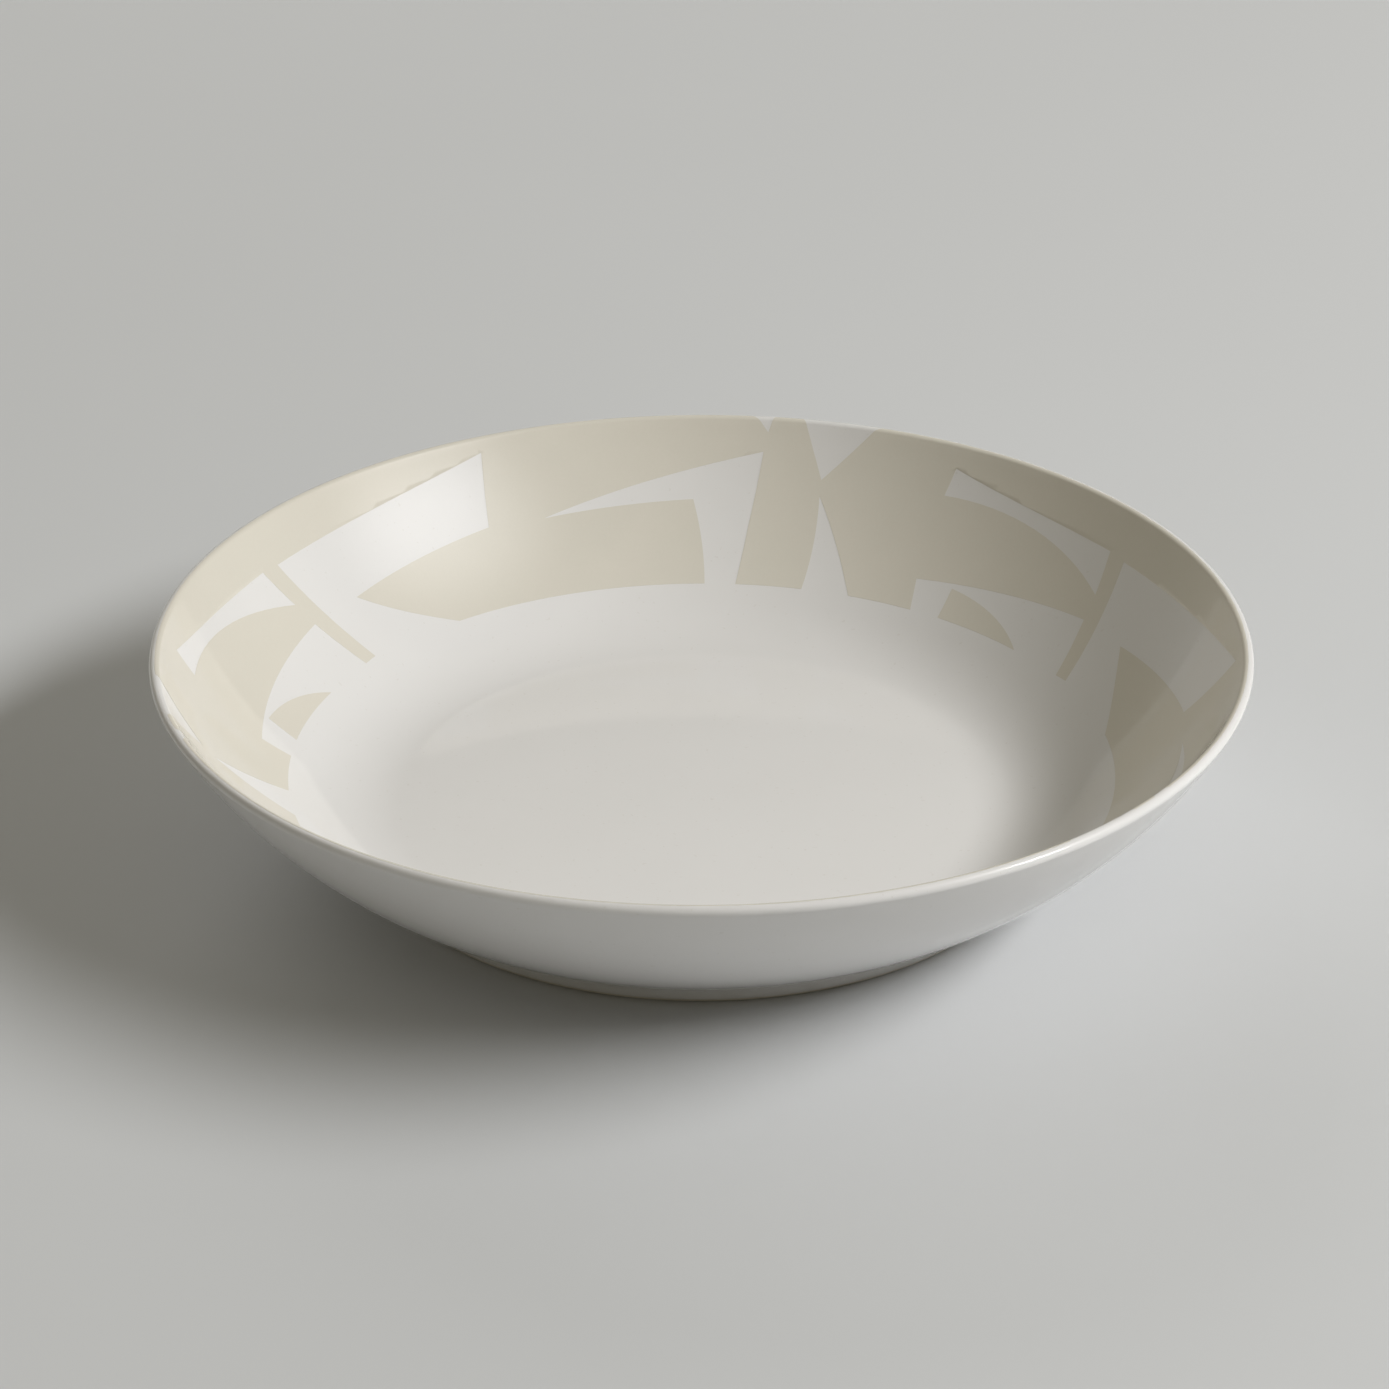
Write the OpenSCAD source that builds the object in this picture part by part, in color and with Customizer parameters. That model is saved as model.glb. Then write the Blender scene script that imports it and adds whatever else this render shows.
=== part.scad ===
// Low round porcelain serving bowl with a printed band of cut-out shapes inside the wall.
// Millimetres, +Z up. The bowl stands on the XY plane and is centred on the Z axis.
// Every wall is drawn as a half section, radius to the right and height up, and turned round Z.

/* [Bowl] */
// Overall diameter across the lip
rim_d = 300; // [290:1:310]
// Height above the table to the top of the glazed lip
bowl_h = 60.5; // [57:0.5:64]
// Radius of the outer wall's curve from the foot to the lip
wall_arc_r = 133; // [126:1:145]
// Thickness of the wall, which is also the thickness of the round lip
wall_t = 3.2; // [2.8:0.1:4]
// Radius of the flat well
well_r = 84; // [78:1:88]
// Height of the well's surface above the table
well_z = 9.5; // [8.5:0.5:11]

/* [Foot ring] */
// Diameter of the foot ring where it meets the belly
foot_top_d = 190; // [184:1:192]
// Height of the foot ring
foot_h = 5; // [4:0.5:6]
// How far the foot's two faces lean in towards its standing edge
foot_draft = 1.5; // [0.5:0.25:2]
// Width of the foot ring at its standing edge
foot_w = 4.5; // [4:0.5:6]
// Rounding of the standing edge
foot_edge_r = 1; // [0.5:0.25:1.5]

/* [Glaze and print] */
// Thickness of the fired glaze
glaze_t = 0.3; // [0.2:0.05:0.5]
// Height of the bare clay that is wiped clean above the table
bare_h = 1.25; // [1.25:0.25:2]
// Thickness of the printed decals on the glaze
decal_t = 0.1; // [0.1:0.05:0.2]
// Radius of the circle that the printed band stands on
band_base_r = 114; // [110:1:118]

/* [Hidden] */
$fn = 180;

// The round lip: its centre in the half section and its radius.
lip_r = wall_t / 2;
lip = [rim_d / 2 - lip_r, bowl_h - lip_r];

// The wall's outer curve runs through the top corner of the foot and touches the lip's circle.
foot_top = [foot_top_d / 2, foot_h];
wall_c = arc_centre(lip, wall_arc_r - lip_r, foot_top, wall_arc_r);
hollow_arc_r = wall_arc_r - wall_t;

// The turn is the curve between the flat well and the wall, and touches both.
turn_dx = well_r - wall_c[0];
turn_dz = wall_c[1] - well_z;
turn_r = (pow(hollow_arc_r, 2) - pow(turn_dx, 2) - pow(turn_dz, 2)) / (2 * (hollow_arc_r - turn_dz));
turn_c = [well_r, well_z + turn_r];
turn_end = turn_c + (turn_c - wall_c) * turn_r / (hollow_arc_r - turn_r);

// The print repeats three times round the bowl. Its shapes are lists of corners. A corner is
// [angle, height]: degrees round the bowl, and percent of the way from the band's base circle
// to the top of the lip. A corner with two more numbers starts a curved edge, and they are the
// angle and height that the curve leans towards.
repeats = 3;
edge_step = 3;
curve_steps = 8;
band_corners = [
  [187.5, 0], [177.3, 0], [178.4, 22], [150.3, 39], [147.4, 1], [145, 2],
  [150, 76, 131, 76], [116.6, 91], [118.3, 53], [141.3, 40, 136, 18],
  [128.3, 0], [89.4, 0, 89.4, 29], [90.9, 56], [110.8, 52], [82.3, 82],
  [81.9, 91], [83.8, 100], [188.5, 100], [194.8, 70], [194.7, 61, 192.6, 47]];
window_corners = [
  [178.2, 87, 168, 76], [152.9, 77], [151.2, 54, 165, 77], [178.7, 73]];
slab_corners = [
  [74.8, 0, 74, 30], [74.7, 61], [74.8, 70], [77.9, 100], [81.2, 100],
  [81.9, 91], [82.3, 82], [84.8, 0]];
leaf_corners = [
  [172.5, 0], [172.6, 22, 163.5, 18], [157.4, 0]];

// Centre of the arc that passes at the radii dp and dq from the points p and q, on their inner side.
function arc_centre(p, dp, q, dq) =
  let (gap = norm(p - q),
       along = (dq * dq - dp * dp + gap * gap) / (2 * gap),
       aside = sqrt(dq * dq - along * along),
       way = (p - q) / gap)
  q + way * along + [-way[1], way[0]] * aside;

// Plan position of a place on the print.
function on_wall(place) =
  let (r = band_base_r + (lip[0] - band_base_r) * place[1] / 100)
  [r * cos(place[0]), r * sin(place[0])];

// Points of the edge from corner a up to, but not including, corner b.
function edge(a, b) =
  let (from = [a[0], a[1]],
       to = [b[0], b[1]],
       curved = len(a) == 4,
       lean = curved ? [a[2], a[3]] : (from + to) / 2,
       steps = curved ? curve_steps : max(1, ceil(abs(to[0] - from[0]) / edge_step)))
  [for (i = [0 : steps - 1]) let (t = i / steps)
     on_wall(from * pow(1 - t, 2) + lean * 2 * t * (1 - t) + to * t * t)];

function outline(corners) =
  [for (i = [0 : len(corners) - 1]) each edge(corners[i], corners[(i + 1) % len(corners)])];

// Half section of the space inside the bowl, with its surface moved into the wall by grow.
module hollow(grow) {
  far = 3 * wall_arc_r;
  translate([0, well_z - grow]) square([well_r, rim_d]);
  translate(turn_c) circle(turn_r + grow);
  intersection() {
    translate(wall_c) circle(hollow_arc_r + grow);
    polygon([wall_c, wall_c + (turn_end - wall_c) * 3, [far, -far], [far, wall_c[1]]]);
  }
}

// Half section inside the outer surface above the foot, with that surface moved inwards by shrink.
module belly(shrink) {
  intersection() {
    translate(wall_c) circle(wall_arc_r - shrink);
    translate([0, foot_h]) square([rim_d, rim_d]);
  }
}

// The part of a half section below the line across the lip.
module under_lip() {
  intersection() {
    children();
    polygon([[0, wall_c[1]], wall_c, wall_c + (lip - wall_c) * 2, [2 * rim_d, -rim_d], [0, -rim_d]]);
  }
}

// A layer round the top of the lip, on the hollow's side (side = -1) or the outside (side = 1).
module lip_layer(outer, inner, side) {
  difference() {
    translate(lip) circle(outer);
    translate(lip) circle(inner);
    under_lip() square(4 * rim_d, center = true);
    translate([lip[0] - (side + 1) / 2 * rim_d, 0]) square([rim_d, rim_d]);
  }
}

// The foot ring's outer and inner faces at height z.
function foot_outer(z) = foot_top[0] - foot_draft * (foot_h - z) / foot_h;
function foot_inner(z) = foot_outer(0) - foot_w - foot_draft * z / foot_h;

// Points of a quarter circle of the standing edge's rounding, from the angle start anticlockwise.
function quarter_round(centre, start) =
  [for (a = [start : 15 : start + 90]) centre + foot_edge_r * [cos(a), sin(a)]];

// Bisque porcelain: well, wall and lip, under the glaze.
module bowl_body() {
  color([0.93, 0.92, 0.89]) rotate_extrude() {
    under_lip() difference() {
      belly(glaze_t);
      hollow(glaze_t);
    }
    translate(lip) circle(lip_r - glaze_t);
  }
}

// Bisque ring that is luted under the belly. Its standing edge stays bare.
module foot_ring() {
  inner_edge = [foot_inner(0) + glaze_t + foot_edge_r, foot_edge_r];
  outer_edge = [foot_outer(0) - glaze_t - foot_edge_r, foot_edge_r];
  color([0.86, 0.84, 0.80]) rotate_extrude() polygon([
    [foot_inner(foot_h) + glaze_t, foot_h],
    each quarter_round(inner_edge, 180),
    each quarter_round(outer_edge, 270),
    [foot_outer(foot_h) - glaze_t, foot_h]]);
}

// Clear glaze over the well, the inside of the wall and the inner half of the lip.
module inside_glaze() {
  color([0.91, 0.90, 0.87]) rotate_extrude() {
    under_lip() difference() {
      hollow(glaze_t);
      hollow(0);
    }
    lip_layer(lip_r, lip_r - glaze_t, -1);
  }
}

// Clear glaze over the outer half of the lip, the belly and the foot's outer face.
module outside_glaze() {
  color([0.90, 0.89, 0.86]) rotate_extrude() {
    under_lip() difference() {
      belly(0);
      belly(glaze_t);
    }
    lip_layer(lip_r, lip_r - glaze_t, 1);
    polygon([[foot_outer(foot_h) - glaze_t, foot_h], [foot_outer(bare_h) - glaze_t, bare_h],
             [foot_outer(bare_h), bare_h], [foot_outer(foot_h), foot_h]]);
  }
}

// Clear glaze over the underside and the foot's inner face.
module base_glaze() {
  color([0.89, 0.88, 0.85]) rotate_extrude() {
    polygon([[0, foot_h], [foot_inner(foot_h) + glaze_t, foot_h],
             [foot_inner(bare_h) + glaze_t, bare_h], [foot_inner(bare_h), bare_h],
             [foot_inner(foot_h - glaze_t), foot_h - glaze_t], [0, foot_h - glaze_t]]);
  }
}

// One printed shape: the part of a thin layer on the glaze that stands over the children's plan.
module decal(turn) {
  color([0.76, 0.73, 0.65]) rotate([0, 0, turn * 360 / repeats]) intersection() {
    rotate_extrude() {
      under_lip() difference() {
        hollow(0);
        hollow(-decal_t);
        square([turn_end[0], rim_d]);
      }
      lip_layer(lip_r + decal_t, lip_r, -1);
    }
    linear_extrude(2 * bowl_h) children();
  }
}

// Long connected band: start block with its step, window and stick, lip strip and leaf-ended patch.
module band_decal(turn) {
  decal(turn) difference() {
    polygon(outline(band_corners));
    polygon(outline(window_corners));
  }
}

// Tall four-sided slab that stands between two bands.
module slab_decal(turn) {
  decal(turn) polygon(outline(slab_corners));
}

// Small leaf that lies in the step of the start block.
module leaf_decal(turn) {
  decal(turn) polygon(outline(leaf_corners));
}

bowl_body();
foot_ring();
inside_glaze();
outside_glaze();
base_glaze();
band_decal(0);  // band_decal_1
band_decal(1);  // band_decal_2
band_decal(2);  // band_decal_3
slab_decal(0);  // slab_decal_1
slab_decal(1);  // slab_decal_2
slab_decal(2);  // slab_decal_3
leaf_decal(0);  // leaf_decal_1
leaf_decal(1);  // leaf_decal_2
leaf_decal(2);  // leaf_decal_3
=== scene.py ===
import math

import bpy
from mathutils import Matrix, Vector


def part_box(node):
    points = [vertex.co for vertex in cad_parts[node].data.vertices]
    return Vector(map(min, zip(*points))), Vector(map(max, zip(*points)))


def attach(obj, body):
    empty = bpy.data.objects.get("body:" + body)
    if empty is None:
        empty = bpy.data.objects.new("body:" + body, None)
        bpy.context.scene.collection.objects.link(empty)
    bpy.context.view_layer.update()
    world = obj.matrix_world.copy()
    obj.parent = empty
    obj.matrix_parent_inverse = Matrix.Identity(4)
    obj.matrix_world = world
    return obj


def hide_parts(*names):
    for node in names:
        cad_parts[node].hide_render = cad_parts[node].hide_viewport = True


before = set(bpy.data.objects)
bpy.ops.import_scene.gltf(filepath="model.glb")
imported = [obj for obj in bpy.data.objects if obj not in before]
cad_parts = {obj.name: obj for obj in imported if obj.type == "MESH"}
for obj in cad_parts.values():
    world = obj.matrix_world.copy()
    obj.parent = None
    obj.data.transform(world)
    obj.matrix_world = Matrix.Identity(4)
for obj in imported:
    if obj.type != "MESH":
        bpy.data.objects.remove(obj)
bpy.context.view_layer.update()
bpy.ops.object.select_all(action="DESELECT")

# ---------------------------------------------------------------------------------------------
# Bowl body. The well, wall and lip are one piece of white porcelain, pressed on a roller-head
# machine and bisque fired. It keeps its own shape from the frame and lies wholly under the glaze.
# ---------------------------------------------------------------------------------------------
mm = 0.001


class Value:
    """One output socket of a finish. Arithmetic on it adds Math nodes to the finish."""

    def __init__(self, finish, socket):
        self.finish = finish
        self.socket = socket

    def math(self, operation, first, second):
        return self.finish.add("Math", {"operation": operation}, {0: first, 1: second})

    def __add__(self, other):
        return self.math("ADD", self, other)

    def __radd__(self, other):
        return self.math("ADD", other, self)

    def __mul__(self, other):
        return self.math("MULTIPLY", self, other)

    def __rmul__(self, other):
        return self.math("MULTIPLY", other, self)


class Finish:
    """A ceramic surface: a material with one Principled shader and the nodes that feed it."""

    def __init__(self, name, **constants):
        self.material = bpy.data.materials.new(name)
        self.material.use_nodes = True
        self.nodes = self.material.node_tree.nodes
        self.links = self.material.node_tree.links
        self.shader = self.nodes["Principled BSDF"]
        for socket, number in constants.items():
            self.shader.inputs[socket.replace("_", " ")].default_value = number
        self.place = self.add("TexCoord", {}, {}, "Object")

    def add(self, kind, settings, sockets, output=0):
        """Adds one node. Its settings are made first, then its sockets are set or linked."""
        node = self.nodes.new("ShaderNode" + kind)
        for setting, choice in settings.items():
            setattr(node, setting, choice)
        for socket, value in sockets.items():
            self.feed(node.inputs[socket], value)
        return Value(self, node.outputs[output])

    def feed(self, socket, value):
        """Links a node's value to the socket, or sets the socket to a number or colour."""
        if isinstance(value, Value):
            self.links.new(value.socket, socket)
        else:
            socket.default_value = value

    def noise(self, size, detail):
        """Soft cloudy noise from 0 to 1, whose blotches are about size metres across."""
        sockets = {"Vector": self.place, "Scale": 1 / size, "Detail": detail}
        return self.add("TexNoise", {}, sockets, "Fac")

    def ramp(self, value, start, end):
        """Goes from 0 to 1 as the value goes from start to end, and stays there on both sides."""
        sockets = {"Value": value, "From Min": start, "From Max": end}
        return self.add("MapRange", {"interpolation_type": "SMOOTHSTEP"}, sockets)

    def blend(self, share, first, second):
        """The first colour where share is 0 and the second colour where it is 1."""
        settings = {"data_type": "RGBA"}
        return self.add("Mix", settings, {"Factor": share, 6: first, 7: second}, 2)

    def radius(self):
        """Distance from the bowl's axis."""
        flat = self.add("VectorMath", {"operation": "MULTIPLY"}, {0: self.place, 1: (1, 1, 0)})
        return self.add("VectorMath", {"operation": "LENGTH"}, {0: flat}, "Value")

    def coat(self, colour, roughness=None, height=None, depth=0):
        """Feeds what varies over the surface: colour, roughness and a bump of the given depth."""
        self.feed(self.shader.inputs["Base Color"], colour)
        if roughness is not None:
            self.feed(self.shader.inputs["Roughness"], roughness)
        if height is not None:
            sockets = {"Height": height, "Distance": depth, "Strength": 1.0}
            self.feed(self.shader.inputs["Normal"], self.add("Bump", {}, sockets))
        return self.material


bisque = Finish("bisque")
grain = bisque.noise(0.4 * mm, detail=4)
bisque_colour = bisque.blend(grain, (0.70, 0.67, 0.61, 1), (0.78, 0.76, 0.71, 1))
bisque_material = bisque.coat(bisque_colour, 0.78 + 0.14 * grain, grain, 0.03 * mm)

bowl_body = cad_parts["bowl_body"]
bowl_body.data.materials.clear()
bowl_body.data.materials.append(bisque_material)

# ---------------------------------------------------------------------------------------------
# Foot ring. A plain ring of the same clay under the belly. Its standing edge is rounded, wiped
# clean of glaze before the last firing and ground smooth, so it shows as bare matt clay.
# ---------------------------------------------------------------------------------------------
glaze_t = 0.3 * mm
foot_w = 4.5 * mm
foot_draft = 1.5 * mm
foot_edge_r = 1.0 * mm
turn_steps = 360
round_steps = 6
crisp_angle = math.radians(35)
weld = 0.001 * mm


def start_section(x, z):
    """Begins a half section in the XZ plane with one selected point."""
    bpy.ops.object.select_all(action="DESELECT")
    bpy.ops.mesh.primitive_plane_add(size=mm)
    bpy.ops.object.mode_set(mode="EDIT")
    bpy.ops.mesh.merge(type="CENTER")
    bpy.ops.transform.translate(value=(x, 0, z))
    return Vector((x, 0, z))


def line_to(point, x, z):
    """Extrudes the selected end of the section to x, z."""
    step = Vector((x, 0, z)) - point
    bpy.ops.mesh.extrude_region_move(TRANSFORM_OT_translate={"value": step})
    return Vector((x, 0, z))


def arc_to(point, centre, x, z, steps):
    """Spins the selected end of the section about centre to x, z, the short way round."""
    start_angle = math.atan2(point.z - centre[1], point.x - centre[0])
    end_angle = math.atan2(z - centre[1], x - centre[0])
    sweep = (end_angle - start_angle + math.pi) % (2 * math.pi) - math.pi
    middle = (centre[0], 0, centre[1])
    bpy.ops.mesh.spin(steps=steps, angle=sweep, center=middle, axis=(0, 1, 0))
    return Vector((x, 0, z))


def round_corner(x, z, size, segments):
    """Rounds the section's corner that lies at x, z."""
    bpy.ops.mesh.select_all(action="DESELECT")
    bpy.ops.object.mode_set(mode="OBJECT")
    for vertex in bpy.context.object.data.vertices:
        vertex.select = (vertex.co - Vector((x, 0, z))).length < 0.02 * mm
    bpy.ops.object.mode_set(mode="EDIT")
    bpy.ops.mesh.bevel(offset=size, segments=segments, affect="VERTICES")


def close_section():
    """Joins the end of the section to its start."""
    bpy.ops.mesh.select_all(action="SELECT")
    bpy.ops.mesh.remove_doubles(threshold=weld)


def turn_section(name, steps=turn_steps):
    """Turns the section once round the bowl's axis, with its seam and its poles closed."""
    bpy.ops.object.mode_set(mode="OBJECT")
    piece = bpy.context.object
    piece.name = name
    lathe = piece.modifiers.new("lathe", "SCREW")
    lathe.steps = steps
    lathe.render_steps = steps
    lathe.use_merge_vertices = True
    lathe.merge_threshold = weld
    bpy.ops.object.modifier_apply(modifier="lathe")
    bpy.ops.object.mode_set(mode="EDIT")
    bpy.ops.mesh.select_all(action="SELECT")
    bpy.ops.mesh.remove_doubles(threshold=weld)
    bpy.ops.mesh.normals_make_consistent(inside=False)
    bpy.ops.object.mode_set(mode="OBJECT")
    bpy.ops.object.shade_smooth_by_angle(angle=crisp_angle)
    return piece


def fit(piece, material, node):
    """Gives a finished piece its material and puts it in its node's place."""
    piece.data.materials.clear()
    piece.data.materials.append(material)
    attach(piece, "root")
    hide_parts(node)


foot_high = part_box("foot_ring")[1]
foot_h = foot_high.z
foot_out = foot_high.x + glaze_t
foot_out_low = foot_out - foot_draft
foot_in_low = foot_out_low - foot_w
foot_in = foot_in_low - foot_draft

end = start_section(foot_in + glaze_t, foot_h)
end = line_to(end, foot_in_low + glaze_t, 0)
end = line_to(end, foot_out_low - glaze_t, 0)
end = line_to(end, foot_out - glaze_t, foot_h)
end = line_to(end, foot_in + glaze_t, foot_h)
close_section()
round_corner(foot_in_low + glaze_t, 0, foot_edge_r, round_steps)
round_corner(foot_out_low - glaze_t, 0, foot_edge_r, round_steps)
foot_ring = turn_section("foot_ring_bare")

rings_per_metre = 9000
bare = Finish("bare_foot")
grain = bare.noise(0.35 * mm, detail=5)
stain = bare.noise(14 * mm, detail=3)
ring_sockets = {"W": bare.radius(), "Scale": rings_per_metre}
rings = bare.add("TexNoise", {"noise_dimensions": "1D"}, ring_sockets, "Fac")
clay = bare.blend(grain, (0.62, 0.58, 0.51, 1), (0.74, 0.71, 0.65, 1))
clay = bare.blend(0.35 * bare.ramp(stain, 0.45, 0.75), clay, (0.52, 0.47, 0.40, 1))
bare_material = bare.coat(clay, 0.7 + 0.2 * rings, 0.5 * grain + 0.5 * rings, 0.02 * mm)
fit(foot_ring, bare_material, "foot_ring")

# ---------------------------------------------------------------------------------------------
# Inside glaze. Clear gloss glaze over the warm white clay, fired to one smooth skin that runs
# from the flat well through the turn and the wall to the crest of the round lip.
# ---------------------------------------------------------------------------------------------
wall_curve_r = 133 * mm
well_r = 84 * mm
glaze_low, glaze_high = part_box("inside_glaze")
rim_low, rim_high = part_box("outside_glaze")
well_z = glaze_low.z + glaze_t
lip_x = glaze_high.x
lip_r = rim_high.x - lip_x
lip_z = rim_high.z - lip_r
crest_z = lip_z + lip_r
hollow_r = wall_curve_r - 2 * lip_r
turn_curve_steps = 24
wall_steps = 48
lip_steps = 12


def curve_centre(first, first_r, second, second_r):
    """The centre at those distances from two points of the section, on their inner side."""
    span = Vector(second) - Vector(first)
    along = (span.length_squared + first_r**2 - second_r**2) / (2 * span.length)
    aside = math.sqrt(first_r**2 - along**2)
    way = span.normalized()
    return Vector(first) + way * along + Vector((-way.y, way.x)) * aside


lip = Vector((lip_x, lip_z))
wall_centre = curve_centre((foot_out, foot_h), wall_curve_r, lip, wall_curve_r - lip_r)
lip_way = (lip - wall_centre).normalized()

# The turn touches the flat well and the wall, so its centre stands over the well's edge.
drop = wall_centre.y - well_z
inset = well_r - wall_centre.x
turn_r = (hollow_r**2 - inset**2 - drop**2) / (2 * (hollow_r - drop))
turn_centre = Vector((well_r, well_z + turn_r))
turn_way = (turn_centre - wall_centre).normalized()

end = start_section(0, well_z)
end = line_to(end, well_r / 2, well_z)
end = line_to(end, well_r, well_z)
end = arc_to(end, turn_centre, *(turn_centre + turn_way * turn_r), turn_curve_steps)
end = arc_to(end, wall_centre, *(lip - lip_way * lip_r), wall_steps)
end = arc_to(end, lip, lip_x, crest_z, lip_steps)
end = line_to(end, lip_x, crest_z - glaze_t)
end = arc_to(end, lip, *(lip - lip_way * (lip_r - glaze_t)), lip_steps)
end = arc_to(end, wall_centre, *(turn_centre + turn_way * (turn_r + glaze_t)), wall_steps)
end = arc_to(end, turn_centre, well_r, well_z - glaze_t, turn_curve_steps)
end = line_to(end, well_r / 2, well_z - glaze_t)
end = line_to(end, 0, well_z - glaze_t)
inside_glaze = turn_section("inside_glaze_skin")

white = Finish("glaze", IOR=1.52)
cloud = white.noise(45 * mm, detail=3)
swell = white.noise(22 * mm, detail=1)
peel = white.noise(1.6 * mm, detail=1)
specks = white.ramp(white.noise(1.1 * mm, detail=0), 0.80, 0.83)
tone = white.blend(cloud, (0.735, 0.727, 0.718, 1), (0.765, 0.757, 0.752, 1))
tone = white.blend(0.12 * specks, tone, (0.45, 0.40, 0.32, 1))
white_material = white.coat(tone, 0.05 + 0.03 * cloud, 0.9 * swell + 0.04 * peel, 0.02 * mm)
fit(inside_glaze, white_material, "inside_glaze")

# ---------------------------------------------------------------------------------------------
# Outside glaze. The same glaze from the crest of the lip down the belly and the foot's outer
# face. It pools in the crease above the foot and stops at a soft edge above the table.
# ---------------------------------------------------------------------------------------------
bare_h = rim_low.z
glaze_edge_r = 0.25 * mm
crease_r = 2.2 * mm
outer_lip_steps = 16
belly_steps = 64
hidden_belly_steps = 16
hidden_lip_steps = 8
glaze_edge_steps = 4
crease_steps = 8


def foot_face(z, low, high):
    """Place of one of the foot's leaning faces at height z."""
    return low + (high - low) * z / foot_h


def belly_foot_x(sunk):
    """Where the belly's curve meets the top of the foot, when it is sunk that deep."""
    reach = wall_curve_r - sunk
    return wall_centre.x + math.sqrt(reach**2 - (wall_centre.y - foot_h) ** 2)


glaze_edge_x = foot_face(bare_h, foot_out_low, foot_out)
end = start_section(lip_x, crest_z)
end = arc_to(end, lip, *(lip + lip_way * lip_r), outer_lip_steps)
end = arc_to(end, wall_centre, belly_foot_x(0), foot_h, belly_steps)
end = line_to(end, glaze_edge_x, bare_h)
end = line_to(end, glaze_edge_x - glaze_t, bare_h)
end = line_to(end, foot_out - glaze_t, foot_h)
end = line_to(end, belly_foot_x(glaze_t), foot_h)
end = arc_to(end, wall_centre, *(lip + lip_way * (lip_r - glaze_t)), hidden_belly_steps)
end = arc_to(end, lip, lip_x, crest_z - glaze_t, hidden_lip_steps)
end = line_to(end, lip_x, crest_z)
close_section()
round_corner(foot_out, foot_h, crease_r, crease_steps)
round_corner(glaze_edge_x, bare_h, glaze_edge_r, glaze_edge_steps)
outside_glaze = turn_section("outside_glaze_skin", 2 * turn_steps)
fit(outside_glaze, white_material, "outside_glaze")

# ---------------------------------------------------------------------------------------------
# Base glaze. The glaze over the flat underside and the foot's inner face, with a pooled crease.
# Nothing of it shows while the bowl stands.
# ---------------------------------------------------------------------------------------------
under_z = foot_h - glaze_t
base_crease_r = 1.6 * mm
crease_x = foot_face(under_z, foot_in_low, foot_in)
glaze_edge_x = foot_face(bare_h, foot_in_low, foot_in)
end = start_section(0, foot_h)
end = line_to(end, foot_in + glaze_t, foot_h)
end = line_to(end, glaze_edge_x + glaze_t, bare_h)
end = line_to(end, glaze_edge_x, bare_h)
end = line_to(end, crease_x, under_z)
end = line_to(end, foot_in / 2, under_z)
end = line_to(end, 0, under_z)
round_corner(crease_x, under_z, base_crease_r, crease_steps)
base_glaze = turn_section("base_glaze_skin")
fit(base_glaze, white_material, "base_glaze")

# ---------------------------------------------------------------------------------------------
# Printed decals. Flat greige ceramic transfers, slid on to the glaze and fired into it until they
# stand a few hundredths of a millimetre proud. Each third has a long band, a slab and a leaf.
# ---------------------------------------------------------------------------------------------
repeats = 3
film_t = 0.04 * mm
sunk = 0.05 * mm
base_r = 114 * mm
film_margin = 2 * mm
film_steps = 30
crest_steps = 8
edge_step = 1.5
curve_steps = 16

# A corner is [angle, height]: degrees round the bowl, and percent of the way from the band's
# base circle to the top of the lip. A corner with two more numbers starts a curved edge, and
# they are the angle and height that the curve leans towards.
band_corners = [
    [187.5, 0], [177.3, 0], [178.4, 22], [150.3, 39], [147.4, 1], [145, 2],
    [150, 76, 131, 76], [116.6, 91], [118.3, 53], [141.3, 40, 136, 18],
    [128.3, 0], [89.4, 0, 89.4, 29], [90.9, 56], [110.8, 52], [82.3, 82],
    [81.9, 91], [83.8, 100], [188.5, 100], [194.8, 70], [194.7, 61, 192.6, 47],
]  # fmt: skip
window_corners = [
    [178.2, 87, 168, 76], [152.9, 77], [151.2, 54, 165, 77], [178.7, 73],
]  # fmt: skip
slab_corners = [
    [74.8, 0, 74, 30], [74.7, 61], [74.8, 70], [77.9, 100], [81.2, 100],
    [81.9, 91], [82.3, 82], [84.8, 0],
]  # fmt: skip
leaf_corners = [[172.5, 0], [172.6, 22, 163.5, 18], [157.4, 0]]


def on_wall(angle, height):
    """Plan position of a place on the print."""
    r = base_r + (lip_x - base_r) * height / 100
    return r * math.cos(math.radians(angle)), r * math.sin(math.radians(angle))


def edge_points(corner, following):
    """Points from one corner up to the next, straight on the unrolled print or curved."""
    start, stop = Vector(corner[:2]), Vector(following[:2])
    if len(corner) == 4:
        lean = Vector(corner[2:])
        steps = curve_steps
    else:
        lean = (start + stop) / 2
        steps = max(1, math.ceil(abs(stop.x - start.x) / edge_step))
    points = []
    for step in range(steps):
        t = step / steps
        place = start * (1 - t) ** 2 + lean * 2 * t * (1 - t) + stop * t * t
        points.append(on_wall(*place))
    return points


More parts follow.
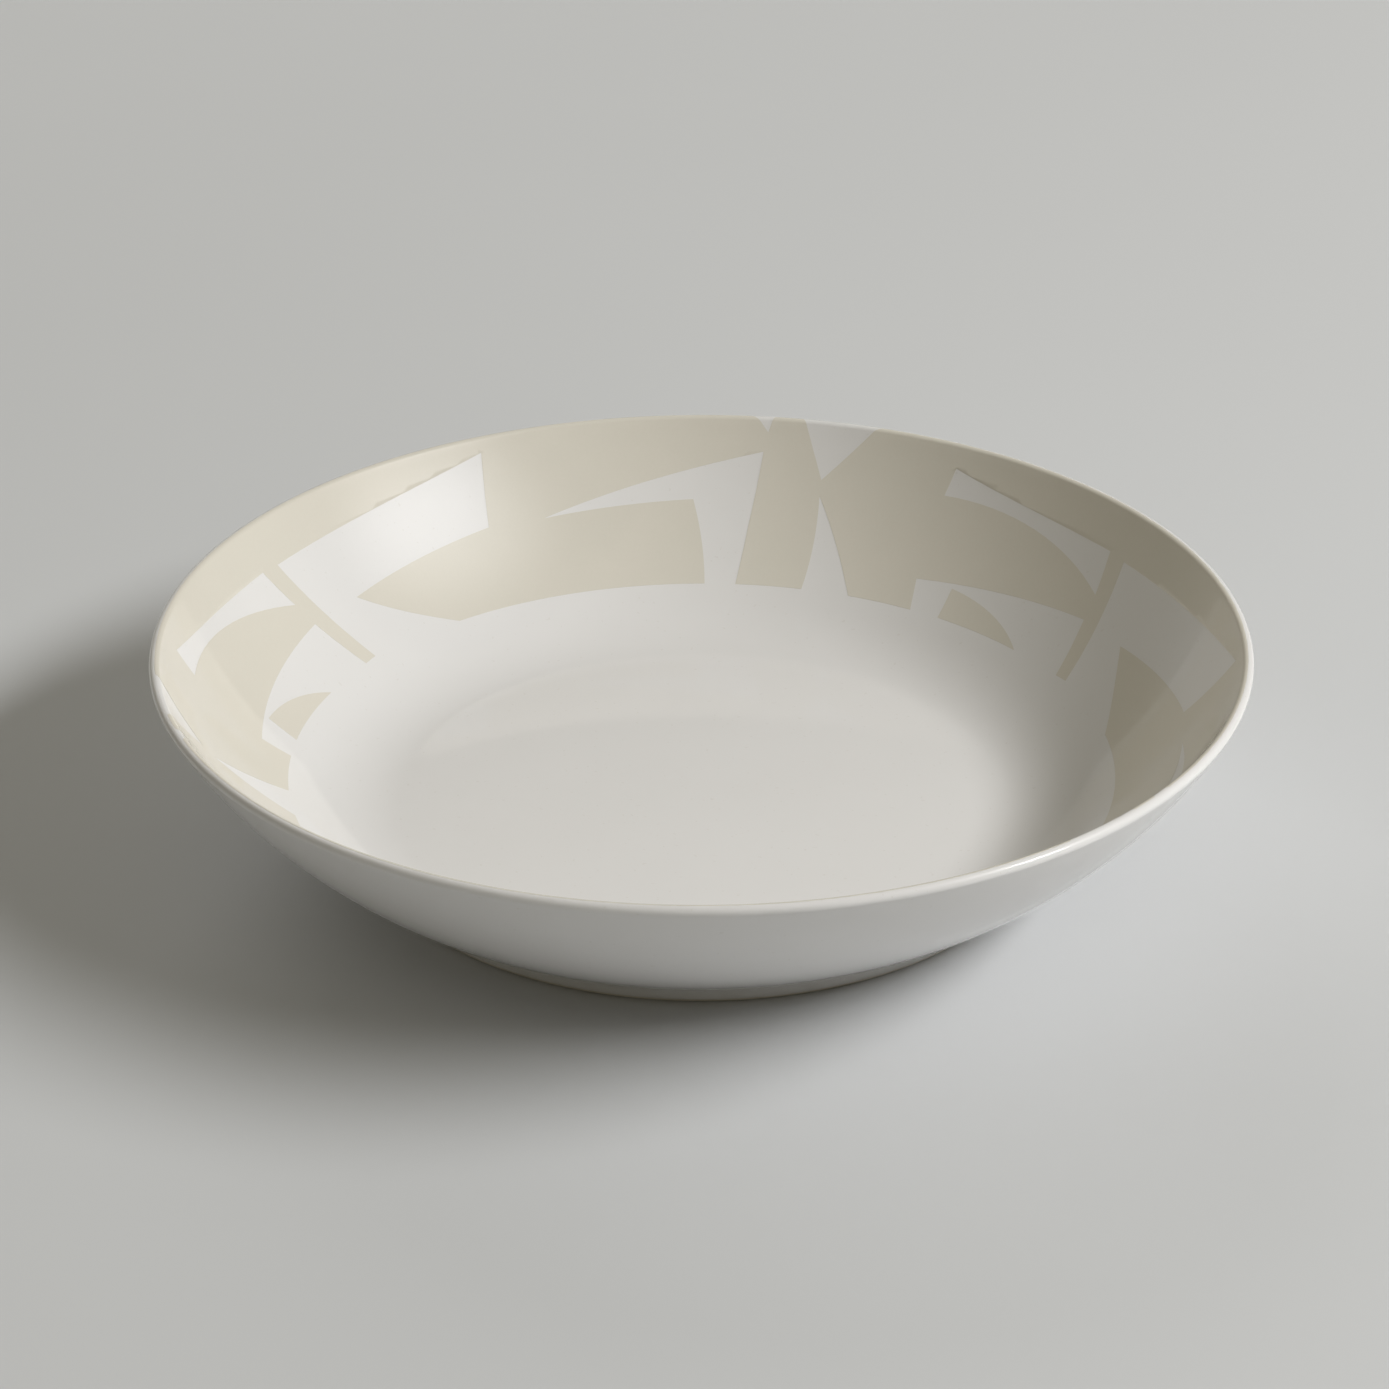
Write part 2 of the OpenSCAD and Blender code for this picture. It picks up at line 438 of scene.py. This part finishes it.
def punch(name, *outlines):
    """An upright block with the outlines' plan; a second outline is a hole in the first."""
    sheet = bpy.data.curves.new(name, "CURVE")
    sheet.dimensions = "2D"
    sheet.fill_mode = "BOTH"
    sheet.extrude = lip_z
    for corners in outlines:
        points = []
        for corner, following in zip(corners, corners[1:] + corners[:1]):
            points += edge_points(corner, following)
        spline = sheet.splines.new("POLY")
        spline.points.add(len(points) - 1)
        for spline_point, (x, y) in zip(spline.points, points):
            spline_point.co = (x, y, 0, 1)
        spline.use_cyclic_u = True
    block = bpy.data.objects.new(name, sheet)
    bpy.context.collection.objects.link(block)
    bpy.ops.object.select_all(action="DESELECT")
    block.select_set(True)
    bpy.context.view_layer.objects.active = block
    bpy.ops.object.convert(target="MESH")
    block = bpy.context.object
    block.data.transform(Matrix.Translation((0, 0, lip_z)))
    bpy.ops.object.mode_set(mode="EDIT")
    bpy.ops.mesh.select_all(action="SELECT")
    bpy.ops.mesh.remove_doubles(threshold=weld)
    bpy.ops.mesh.normals_make_consistent(inside=False)
    bpy.ops.object.mode_set(mode="OBJECT")
    return block


def cut_out(name, film, block):
    """A new piece of the film, cut to the block's plan."""
    decal = film.copy()
    decal.name = name
    decal.data = film.data.copy()
    bpy.context.collection.objects.link(decal)
    cut = decal.modifiers.new("cut", "BOOLEAN")
    cut.operation = "INTERSECT"
    cut.solver = "EXACT"
    cut.object = block
    bpy.ops.object.select_all(action="DESELECT")
    decal.select_set(True)
    bpy.context.view_layer.objects.active = decal
    bpy.ops.object.modifier_apply(modifier="cut")
    bpy.ops.object.shade_smooth_by_angle(angle=crisp_angle)
    return decal


# The transfer film: a thin skin just over the inside glaze, from below the print to the crest.
film_x = base_r - film_margin
film_low_z = wall_centre.y - math.sqrt(hollow_r**2 - (film_x - wall_centre.x) ** 2)
film_way = (Vector((film_x, film_low_z)) - wall_centre).normalized()
film_back = hollow_r + sunk
film_face = hollow_r - film_t
end = start_section(*(wall_centre + film_way * film_back))
end = line_to(end, *(wall_centre + film_way * film_face))
end = arc_to(end, wall_centre, *(lip - lip_way * (lip_r + film_t)), film_steps)
end = arc_to(end, lip, lip_x, crest_z + film_t, crest_steps)
end = line_to(end, lip_x, crest_z - sunk)
end = arc_to(end, lip, *(lip - lip_way * (lip_r - sunk)), crest_steps)
end = arc_to(end, wall_centre, *(wall_centre + film_way * film_back), film_steps)
close_section()
film = turn_section("film")

ink = Finish("print", IOR=1.52)
cloud = ink.noise(30 * mm, detail=3)
mottle = ink.noise(0.7 * mm, detail=3)
swell = ink.noise(22 * mm, detail=1)
tone = ink.blend(cloud, (0.665, 0.642, 0.568, 1), (0.71, 0.672, 0.60, 1))
tone = ink.blend(0.12 * mottle, tone, (0.50, 0.46, 0.37, 1))
ink_material = ink.coat(tone, 0.04 + 0.04 * mottle, 0.9 * swell + 0.1 * mottle, 0.02 * mm)

for name, outlines in (
    ("band", (band_corners, window_corners)),
    ("slab", (slab_corners,)),
    ("leaf", (leaf_corners,)),
):
    block = punch(name, *outlines)
    first = cut_out(f"{name}_print_1", film, block)
    bpy.data.objects.remove(block)
    fit(first, ink_material, f"{name}_decal_1")
    for turn in range(1, repeats):
        decal = first.copy()
        decal.name = f"{name}_print_{turn + 1}"
        decal.data = first.data.copy()
        decal.data.transform(Matrix.Rotation(math.tau * turn / repeats, 4, "Z"))
        bpy.context.collection.objects.link(decal)
        fit(decal, ink_material, f"{name}_decal_{turn + 1}")
bpy.data.objects.remove(film)

# ---------------------------------------------------------------------------------------------
# Floor, light and camera. A plain pale table, one long soft box high on the right, a weak lamp
# behind, a weaker one on the left, a dim warm room, and a long lens that looks down from the front.
# ---------------------------------------------------------------------------------------------
floor_size = 14
bpy.ops.object.select_all(action="DESELECT")
bpy.ops.mesh.primitive_plane_add(size=floor_size)
floor = bpy.context.object
floor.name = "floor"
table = Finish("table", Roughness=0.55)
cloud = table.noise(0.25, detail=3)
table_colour = table.blend(cloud, (0.605, 0.615, 0.625, 1), (0.625, 0.635, 0.645, 1))
floor.data.materials.append(table.coat(table_colour))


def direction(turn, rise):
    """The way to a place seen from the bowl: degrees round it from the right, and degrees up."""
    turn, rise = math.radians(turn), math.radians(rise)
    level = math.cos(rise)
    return Vector((level * math.cos(turn), level * math.sin(turn), math.sin(rise)))


def hang(thing, way, reach):
    """Hangs a lamp or card that far away in that direction, facing the bowl."""
    thing.location = way * reach
    thing.rotation_euler = way.to_track_quat("Z", "Y").to_euler()


def lamp(name, way, width, height, energy):
    """A soft box of that width and height, with white light."""
    light = bpy.data.lights.new(name, "AREA")
    light.shape = "ELLIPSE"
    light.size = width
    light.size_y = height
    light.energy = energy
    holder = bpy.data.objects.new(name, light)
    bpy.context.collection.objects.link(holder)
    hang(holder, way, lamp_reach)
    return holder


lamp_reach = 2.5
key = lamp("key", direction(-13, 40), width=2.2, height=0.5, energy=62.5)
key.visible_glossy = False
back = lamp("back", direction(105, 18), width=1.5, height=1.5, energy=20)
back.visible_glossy = False
fill = lamp("fill", direction(170, 22), width=1.5, height=1.5, energy=3)
fill.visible_glossy = False

# The soft box is mirrored as a thin glint along the outside of the lip only.
lip_side = bpy.data.collections.new("lip_side")
lip_side.objects.link(outside_glaze)
glint = lamp("glint", direction(-14, 40), width=0.4, height=0.9, energy=80)
glint.visible_diffuse = False
glint.light_linking.receiver_collection = lip_side

# The soft box's feathered front: only the glaze mirrors it, as a soft glow inside the wall.
card_size = 2.6
card_reach = 2.4
glow_edge_r = 1.15
glow_core_r = 0.1
bpy.ops.object.select_all(action="DESELECT")
bpy.ops.mesh.primitive_plane_add(size=card_size)
card = bpy.context.object
card.name = "card"
feather = Finish("feather", Roughness=1, Specular_IOR_Level=0, Emission_Strength=3.0)
away = feather.add("VectorMath", {"operation": "LENGTH"}, {0: feather.place}, "Value")
glow = feather.ramp(away, glow_edge_r, glow_core_r)
feather.feed(feather.shader.inputs["Emission Color"], glow)
card.data.materials.append(feather.coat((0, 0, 0, 1)))
hang(card, direction(-14, 42), card_reach)
card.visible_camera = False
card.visible_diffuse = False
card.visible_shadow = False

world = bpy.data.worlds.new("room")
world.use_nodes = True
room = world.node_tree.nodes["Background"]
room.inputs["Color"].default_value = (1, 0.92, 0.70, 1)
room.inputs["Strength"].default_value = 0.182
bpy.context.scene.world = world

view_rise = math.radians(27.21)
view_roll = math.radians(-0.19)
view_reach = 1.41
aim = Vector((-1.9 * mm, 82.7 * mm, 0))
look = Vector((0, -math.cos(view_rise), math.sin(view_rise)))
camera_data = bpy.data.cameras.new("camera")
camera_data.lens = 124.4
camera_data.sensor_width = 36
camera_data.clip_end = 30
camera = bpy.data.objects.new("camera", camera_data)
bpy.context.collection.objects.link(camera)
camera.matrix_world = (
    Matrix.Translation(aim + look * view_reach)
    @ look.to_track_quat("Z", "Y").to_matrix().to_4x4()
    @ Matrix.Rotation(view_roll, 4, "Z")
)
bpy.context.scene.camera = camera
bpy.context.scene.view_settings.view_transform = "Standard"
